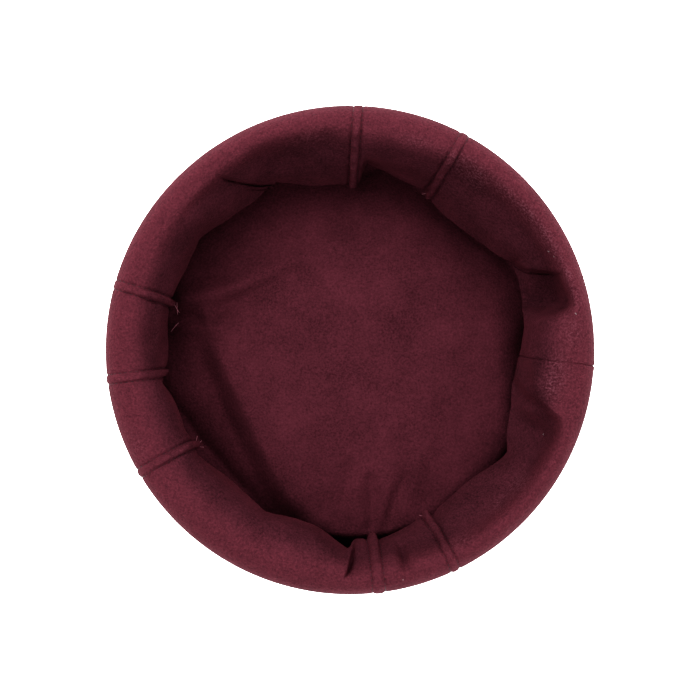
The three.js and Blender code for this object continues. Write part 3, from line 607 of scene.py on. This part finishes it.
def tubes(paths, normals, radii, sides):
    """Closed tubes: a circle of points about each point of a path, square to it. Paths and
    normals are tubes by rings by xyz, and radii tubes by rings. Returns the points and the faces,
    quads between the rings and a cap at each end."""
    tangents = np.gradient(paths, axis=1)
    tangents /= np.linalg.norm(tangents, axis=-1, keepdims=True)
    aside = np.cross(tangents, normals)
    aside /= np.linalg.norm(aside, axis=-1, keepdims=True)
    upward = np.cross(aside, tangents)
    turn = np.arange(sides) * 2 * np.pi / sides
    points = (paths[:, :, None] + radii[:, :, None, None] * (
        np.cos(turn)[:, None] * upward[:, :, None] + np.sin(turn)[:, None] * aside[:, :, None]))
    count, rings = paths.shape[:2]
    wall = quads_between(rings, sides)
    caps = np.stack([np.arange(sides)[::-1], np.arange(sides) + (rings - 1) * sides])
    starts = np.arange(count)[:, None, None] * rings * sides
    return points.reshape(-1, 3), ((wall + starts).reshape(-1, 4).tolist()
                                   + (caps + starts).reshape(-1, sides).tolist())


def stitch_row(column):
    """The rings of the stitches along a column of the band's face, from the seam to the hem, and
    the face's normals there: both read off at their distances along the column."""
    path, outward = face[:, column], normal[:, column]
    run = np.concatenate([[0], np.cumsum(np.linalg.norm(np.diff(path, axis=0), axis=1))])
    starts = np.arange(FIRST_STITCH, run[-1] - STITCH_LENGTH, STITCH_LENGTH + STITCH_GAP)
    at = starts[:, None] + STITCH_LENGTH * STITCH_ALONG
    middle = np.stack([np.interp(at, run, path[:, k]) for k in range(3)], axis=-1)
    up = np.stack([np.interp(at, run, outward[:, k]) for k in range(3)], axis=-1)
    up /= np.linalg.norm(up, axis=-1, keepdims=True)
    return middle + up * STITCH_RISE[:, None], up


stitch_columns = [first_column[str(line["name"])] + k
                  for line in LINES[LINES["kind"] == "tuck"]
                  for k in np.flatnonzero(np.abs(HELD["tuck"]) == STITCH_LINE)]
stitch_rows = [stitch_row(column) for column in stitch_columns]
middles = np.concatenate([row[0] for row in stitch_rows])
ups = np.concatenate([row[1] for row in stitch_rows])
girths = np.broadcast_to(THREAD_RADIUS * STITCH_GIRTH, middles.shape[:2])
stitching = mesh_piece("tuck_stitching", *tubes(middles, ups, girths, THREAD_SIDES))

THREAD_TWIST = 0.35 * MM       # the ply's ridges, drawn coarse enough to show
RIDGE_HEIGHT = 0.1 * MM


def spun_thread(name, colour):
    """Spun polyester thread: dull, with a fine twist that shows as small ridges."""
    material = bpy.data.materials.new(name)
    material.use_nodes = True
    tree = material.node_tree
    surface = tree.nodes["Principled BSDF"]
    surface.inputs["Base Color"].default_value = linear(colour)
    surface.inputs["Roughness"].default_value = 0.6
    place = add(tree, "ShaderNodeTexCoord").outputs["Object"]
    twist = add(tree, "ShaderNodeTexNoise", {"Vector": place}, Scale=1 / THREAD_TWIST, Detail=1.0)
    bump = add(tree, "ShaderNodeBump", {"Height": twist.outputs["Fac"]}, Strength=0.5,
               Distance=RIDGE_HEIGHT)
    tree.links.new(bump.outputs["Normal"], surface.inputs["Normal"])
    return material


stitching.data.materials.append(spun_thread("burgundy_spun_thread", "#2c1219"))
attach(stitching, "root")

# ======================================================================================
# Thread ends and lint
# The stitching's ends were snipped a few millimetres past the hem and stand out from it, paler
# than the cloth. A few flecks of cotton lint sit on the nap of the roll.
# ======================================================================================
TAILS = np.array([
    # from angle, radius, rise off the hem's height, to angle, radius, rise, bend upwards
    (165.6, 94.2, 0.5, 167.6, 91.0, -1.5, 1.2),
    (164.6, 93.4, 0.2, 168.4, 91.6, -0.5, 0.8),
    (174.2, 93.6, 0.5, 171.0, 90.2, 1.0, 1.5),
    (211.0, 93.6, 0.6, 209.4, 91.2, 0.6, 1.0),
    (212.0, 93.2, 0.4, 211.4, 90.6, 0.2, 0.8),
    (212.6, 93.4, 0.5, 213.6, 91.4, 1.2, 0.8),
    (293.8, 94.4, 0.6, 292.8, 93.4, 0.8, 0.6),
    (63.9, 91.4, 0.2, 65.2, 90.0, -0.5, 0.5),
], dtype=[(name, float) for name in
          ("from_at", "from_r", "from_up", "to_at", "to_r", "to_up", "bend")])
TAIL_RADIUS = 0.14
TAIL_RINGS, TAIL_SIDES = 9, 5
LEANING = np.array([0.0, 0.1, 1.0])        # never along a tail, so its rings can be squared to it


def tail_path(tail):
    """A parabola from the hem to the thread's free end, bowed upwards."""
    t = np.linspace(0, 1, TAIL_RINGS)
    at = tail["from_at"] + (tail["to_at"] - tail["from_at"]) * t
    radius = tail["from_r"] + (tail["to_r"] - tail["from_r"]) * t
    hem_z = strip(np.array([tail["from_at"]]), np.array([HEM_ROW]))[0, 2]
    height = (hem_z + tail["from_up"] + (tail["to_up"] - tail["from_up"]) * t
              + 4 * tail["bend"] * t * (1 - t))
    return np.stack([radius * np.cos(np.radians(at)), radius * np.sin(np.radians(at)), height],
                    axis=-1)


tail_paths = np.array([tail_path(tail) for tail in TAILS])
tails = mesh_piece("thread_ends", *tubes(
    tail_paths, np.broadcast_to(LEANING, tail_paths.shape),
    np.full(tail_paths.shape[:2], TAIL_RADIUS), TAIL_SIDES))
tails.data.materials.append(spun_thread("pale_spun_thread", "#98606a"))
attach(tails, "root")

LINT = np.array([
    # x, y, length
    (101.0, 50.5, 1.2), (103.2, 48.0, 0.8), (114.5, 18.5, 1.2), (99.5, -43.5, 0.9),
    (26.5, -116.5, 0.8),
], dtype=[(name, float) for name in ("x", "y", "length")])
LINT_FIBRES = 4                # in a fleck
LINT_RADIUS = 0.05
LINT_RINGS, LINT_SIDES = 5, 4
LINT_RISE = 0.25               # off the cloth
LINT_BOW = 0.8                 # the most that a fibre bows, as a share of its length
over_rim = rows[:, 0] > ROLL_ROW
roll_face, roll_normal = face[over_rim].reshape(-1, 3), normal[over_rim].reshape(-1, 3)


def lint_fibres():
    """The paths of every fleck's fibres, arcs in seeded directions along the cloth whose bow is a
    parabola, and the cloth's normals there."""
    rng = np.random.default_rng(5)
    t = np.linspace(-0.5, 0.5, LINT_RINGS)[:, None]
    paths, outward = [], []
    for fleck in LINT:
        nearest = np.argmin(np.hypot(roll_face[:, 0] - fleck["x"], roll_face[:, 1] - fleck["y"]))
        place, up = roll_face[nearest], roll_normal[nearest]
        for _ in range(LINT_FIBRES):
            heading = np.cross(up, rng.normal(size=3))
            heading *= fleck["length"] / np.linalg.norm(heading)
            bow = np.cross(heading, up) * rng.uniform(-LINT_BOW, LINT_BOW) * t**2
            paths.append(place + heading * t + bow + up * LINT_RISE)
            outward.append(np.broadcast_to(up, (LINT_RINGS, 3)))
    return np.array(paths), np.array(outward)


lint_paths, lint_normals = lint_fibres()
lint = mesh_piece("lint_flecks", *tubes(
    lint_paths, lint_normals, np.full(lint_paths.shape[:2], LINT_RADIUS), LINT_SIDES))
# Lint is loose cotton fibre, much finer than the thread and as dull.
lint.data.materials.append(spun_thread("white_lint", "#a08e90"))
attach(lint, "root")

# ======================================================================================
# The crown
# A disc of the same fleece, 240 mm across, sewn into the band's lower edge with its allowance
# turned up inside. The hat lies on its margin, and the loose middle stands off the table with a
# long crease towards -X and -Y and soft rucks from being packed.
# ======================================================================================
ALLOWANCE_HEIGHT = 8.0
LIP_RADIUS = CROWN_RADIUS - CLOTH - SEAM_GAP       # the turned-up allowance's outer face
LIP_ROUNDING, EDGE_ROUNDING = 0.5, 0.8
CROWN_LIFT = 16.0
LIFT_INNER_RADIUS = 96.0       # the lift fades out between these
LIFT_OUTER_RADIUS = 108.0
POLE_RADIUS = 0.05             # of the small flat cap in the middle
DISC_RINGS, DISC_COLUMNS = 100, 300

# How the lifted middle is domed: the radius where it starts to fall and where it meets the table.
DOME = np.array([
    # at, brow, foot
    (0, 74, 93), (18, 64, 98), (30, 56, 95), (42, 54, 88), (55, 52, 87), (64, 50, 91),
    (78, 44, 98), (90, 42, 92), (110, 36, 97), (130, 36, 100), (148, 38, 104), (162, 50, 106),
    (175, 58, 98), (190, 80, 102), (205, 77, 93), (220, 76, 90), (234, 77, 92), (243, 80, 98),
    (252, 82, 100), (261, 88, 107), (270, 94, 112), (290, 94, 112), (310, 88, 106),
    (330, 86, 106), (345, 80, 96),
], dtype=[(name, float) for name in ("at", "brow", "foot")])

# The long crease: an arc of a wide circle where the lifted middle falls to a low ledge, with a
# soft swell before it.
CREASE_CENTRE = (490.0, 215.0)
CREASE_RADIUS = 603.5
CREASE_FALL = 12.0                         # the width of the step down
CREASE_LOW, CREASE_HIGH = -12.0, 16.0      # it fades out between these distances along +Y
LEDGE_SHARE = 0.44                         # of the lift is left on the ledge
SWELL_RADIUS, SWELL_HEIGHT, SWELL_WIDTH = 592.0, 2.5, 14.0
SWELL_FADE = 25.0                          # it is full from this distance along -Y

RUCKS = np.array([
    # from x, y, to x, y, height, half width
    (-88, 27, -58, 33, 3.6, 5.0),       # gathers that fan in from the -X side
    (-58, 33, -3, 54, 3.0, 7.0),
    (-70, 20, -28, 42, -3.4, 4.5),
    (-91, 19, -80, 17, -3.0, 4.0),
    (-89, 12, -70, 11, 1.4, 4.0),
    (-1, -58, -3, -80, -1.0, 1.5),      # gathers that fan in from the -Y side
    (3, -72, 6, -90, 1.2, 3.0),
    (11, -68, 12, -92, -2.2, 3.0),
    (20, -72, 15, -92, 1.0, 2.5),
    (29, -68, 19, -93, -2.2, 3.5),
    (37, -58, 27, -86, 1.5, 4.0),
    (20, -22, 49, -46, -1.3, 6.0),
    (-45, 24, -12, 13, -0.6, 3.0),
    (20, 70, 19, -25, 0.35, 1.0),       # fold lines pressed in when it was packed
    (-64, 1, 20, -15, 0.35, 1.0),
    (20, -3, 62, 1, 0.3, 1.0),
    (62, 0, 78, 8, -0.4, 1.0),
], dtype=[(name, float) for name in ("x0", "y0", "x1", "y1", "height", "width")])


def crown_lift(x, y):
    """How far the crown's cloth stands off the table: a parabolic dome, let down past the long
    crease in an eased step with a Gaussian swell before it, plus a Gaussian across each ruck."""
    radius = np.hypot(x, y)
    brow, foot = eased(DOME, ("brow", "foot"), np.degrees(np.arctan2(y, x)))
    dome = 1 - np.clip((radius - brow) / (foot - brow), 0, 1) ** 2
    out = np.hypot(x - CREASE_CENTRE[0], y - CREASE_CENTRE[1])
    gone = (1 - LEDGE_SHARE) * smooth(0.5 + (out - CREASE_RADIUS) / CREASE_FALL)
    kept = 1 - gone * smooth((CREASE_HIGH - y) / (CREASE_HIGH - CREASE_LOW))
    swell = np.exp(-((out - SWELL_RADIUS) / SWELL_WIDTH) ** 2) * smooth(-y / SWELL_FADE)
    lift = dome * kept * (CROWN_LIFT + SWELL_HEIGHT * swell)
    for ruck in RUCKS:
        dx, dy = ruck["x1"] - ruck["x0"], ruck["y1"] - ruck["y0"]
        t = np.clip(((x - ruck["x0"]) * dx + (y - ruck["y0"]) * dy) / (dx**2 + dy**2), 0, 1)
        away = np.hypot(x - ruck["x0"] - dx * t, y - ruck["y0"] - dy * t)
        lift = lift + ruck["height"] * np.exp(-(away / ruck["width"]) ** 2)
    rim = smooth((LIFT_OUTER_RADIUS - radius) / (LIFT_OUTER_RADIUS - LIFT_INNER_RADIUS))
    return np.maximum(lift, 0) * rim


def crown_piece():
    """The disc as a profile of radius and height turned round in a ring: over the top from the
    middle, up and over the allowance, round the edge and back under to the middle. Both faces are
    raised by crown_lift."""
    rings = np.linspace(POLE_RADIUS, LIFT_OUTER_RADIUS, DISC_RINGS)
    lip_inside, lip_brow = LIP_RADIUS - CLOTH, ALLOWANCE_HEIGHT - LIP_ROUNDING
    upper = np.column_stack([rings, np.full(len(rings), CLOTH)])
    lip = [(lip_inside, CLOTH), (lip_inside, lip_brow),
           (lip_inside + LIP_ROUNDING, ALLOWANCE_HEIGHT),
           (LIP_RADIUS - LIP_ROUNDING, ALLOWANCE_HEIGHT),
           (LIP_RADIUS, lip_brow), (LIP_RADIUS, CLOTH)]
    edge = [(CROWN_RADIUS - EDGE_ROUNDING, CLOTH), (CROWN_RADIUS - EDGE_ROUNDING / 4, CLOTH * 0.8),
            (CROWN_RADIUS, CLOTH / 2), (CROWN_RADIUS - EDGE_ROUNDING / 4, CLOTH * 0.2),
            (CROWN_RADIUS - EDGE_ROUNDING, 0)]
    lower = np.column_stack([rings, np.zeros(len(rings))])[::-3]     # smooth, so a third will do
    profile = np.concatenate([upper, lip, edge, lower])
    turned = np.linspace(0, 2 * np.pi, DISC_COLUMNS, endpoint=False)[None]
    x, y = profile[:, :1] * np.cos(turned), profile[:, :1] * np.sin(turned)
    z = profile[:, 1:] + crown_lift(x, y) * (profile[:, :1] <= LIFT_OUTER_RADIUS)
    first_ring = np.arange(DISC_COLUMNS)
    last_ring = first_ring + (len(profile) - 1) * DISC_COLUMNS
    caps = [first_ring.tolist(), last_ring[::-1].tolist()]
    return mesh_piece("crown_fleece", np.stack([x, y, z], axis=-1).reshape(-1, 3),
                      quads_between(len(profile), DISC_COLUMNS)[:, ::-1].tolist() + caps)


# The crown has neither layer. Its nap lies closed all over, but looser, with less dark roots.
CROWN_NAP = ("#391a21", "#5a2d37")
crown = crown_piece()
crown.data.materials.append(fleece("crown_brushed_fleece", CROWN_NAP))
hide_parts("crown")
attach(crown, "root")

# ======================================================================================
# The table, the light and the camera
# The hat lies on a plain pale table top in a ring of soft lights, and the camera looks straight
# down on it. Lengths here are in metres.
# ======================================================================================
TABLE_SIZE = 6.0
half = TABLE_SIZE / 2
table_mesh = bpy.data.meshes.new("table_top")
table_mesh.from_pydata([(-half, -half, 0), (half, -half, 0), (half, half, 0), (-half, half, 0)],
                       [], [(0, 1, 2, 3)])
table = put_in_scene("table_top", table_mesh)

# Matt white laminate: an even pale surface without grain. A glow of its own keeps it white.
laminate = bpy.data.materials.new("matt_white_laminate")
laminate.use_nodes = True
for socket, value in {"Base Color": linear("#f2f2f2"), "Roughness": 0.8,
                      "Emission Color": (1, 1, 1, 1), "Emission Strength": 1.5}.items():
    laminate.node_tree.nodes["Principled BSDF"].inputs[socket].default_value = value
table.data.materials.append(laminate)

# Softboxes stand round the hat and face it, the strongest on its far side.
SOFTBOX_DISTANCE = 1.8
SOFTBOX_SIZE = 1.1
SOFTBOXES = np.array([
    # name, degrees round from +X, degrees up, watts
    ("far_right", 45, 43, 9.2),
    ("far", 90, 48, 10.4),
    ("far_left", 135, 48, 17.0),
    ("left", 185, 55, 3.9),
    ("near_left", 225, 44, 7.5),
    ("near", 270, 64, 4.6),
    ("near_right", 315, 39, 8.2),
    ("right", 0, 25, 4.6),
], dtype=[("name", "U16"), ("around", float), ("up", float), ("watts", float)])


def softbox(name, around, up, watts):
    """A square area light that faces the hat from a direction round it and above the table."""
    lamp = bpy.data.lights.new(name, "AREA")
    lamp.shape = "SQUARE"
    lamp.size = SOFTBOX_SIZE
    lamp.energy = watts
    light = put_in_scene(name, lamp)
    around, up = math.radians(around), math.radians(up)
    away = Vector((math.cos(up) * math.cos(around), math.cos(up) * math.sin(around), math.sin(up)))
    light.location = away * SOFTBOX_DISTANCE
    light.rotation_euler = away.to_track_quat("Z", "Y").to_euler()


for box in SOFTBOXES:
    softbox(str(box["name"]) + "_softbox", box["around"], box["up"], box["watts"])

ROOM_LIGHT = 0.03              # what the room gives back from all round
world = bpy.data.worlds.new("studio")
bpy.context.scene.world = world
world.use_nodes = True
world.node_tree.nodes["Background"].inputs["Color"].default_value = (1, 1, 1, 1)
world.node_tree.nodes["Background"].inputs["Strength"].default_value = ROOM_LIGHT

WIDEST_HEIGHT = 0.036          # of the band's widest part, above the table
CAMERA_HEIGHT = 1.5            # above that part
VIEW_WIDTH = 0.362             # what the frame takes in there
SENSOR_WIDTH = 36
camera_data = bpy.data.cameras.new("camera")
camera_data.sensor_width = SENSOR_WIDTH
camera_data.lens = SENSOR_WIDTH * CAMERA_HEIGHT / VIEW_WIDTH
camera = put_in_scene("camera", camera_data)
camera.location = (0, 0, CAMERA_HEIGHT + WIDEST_HEIGHT)
bpy.context.scene.camera = camera
bpy.context.scene.view_settings.view_transform = "Standard"
bpy.context.scene.view_settings.look = "High Contrast"
bpy.context.scene.view_settings.exposure = 0.13
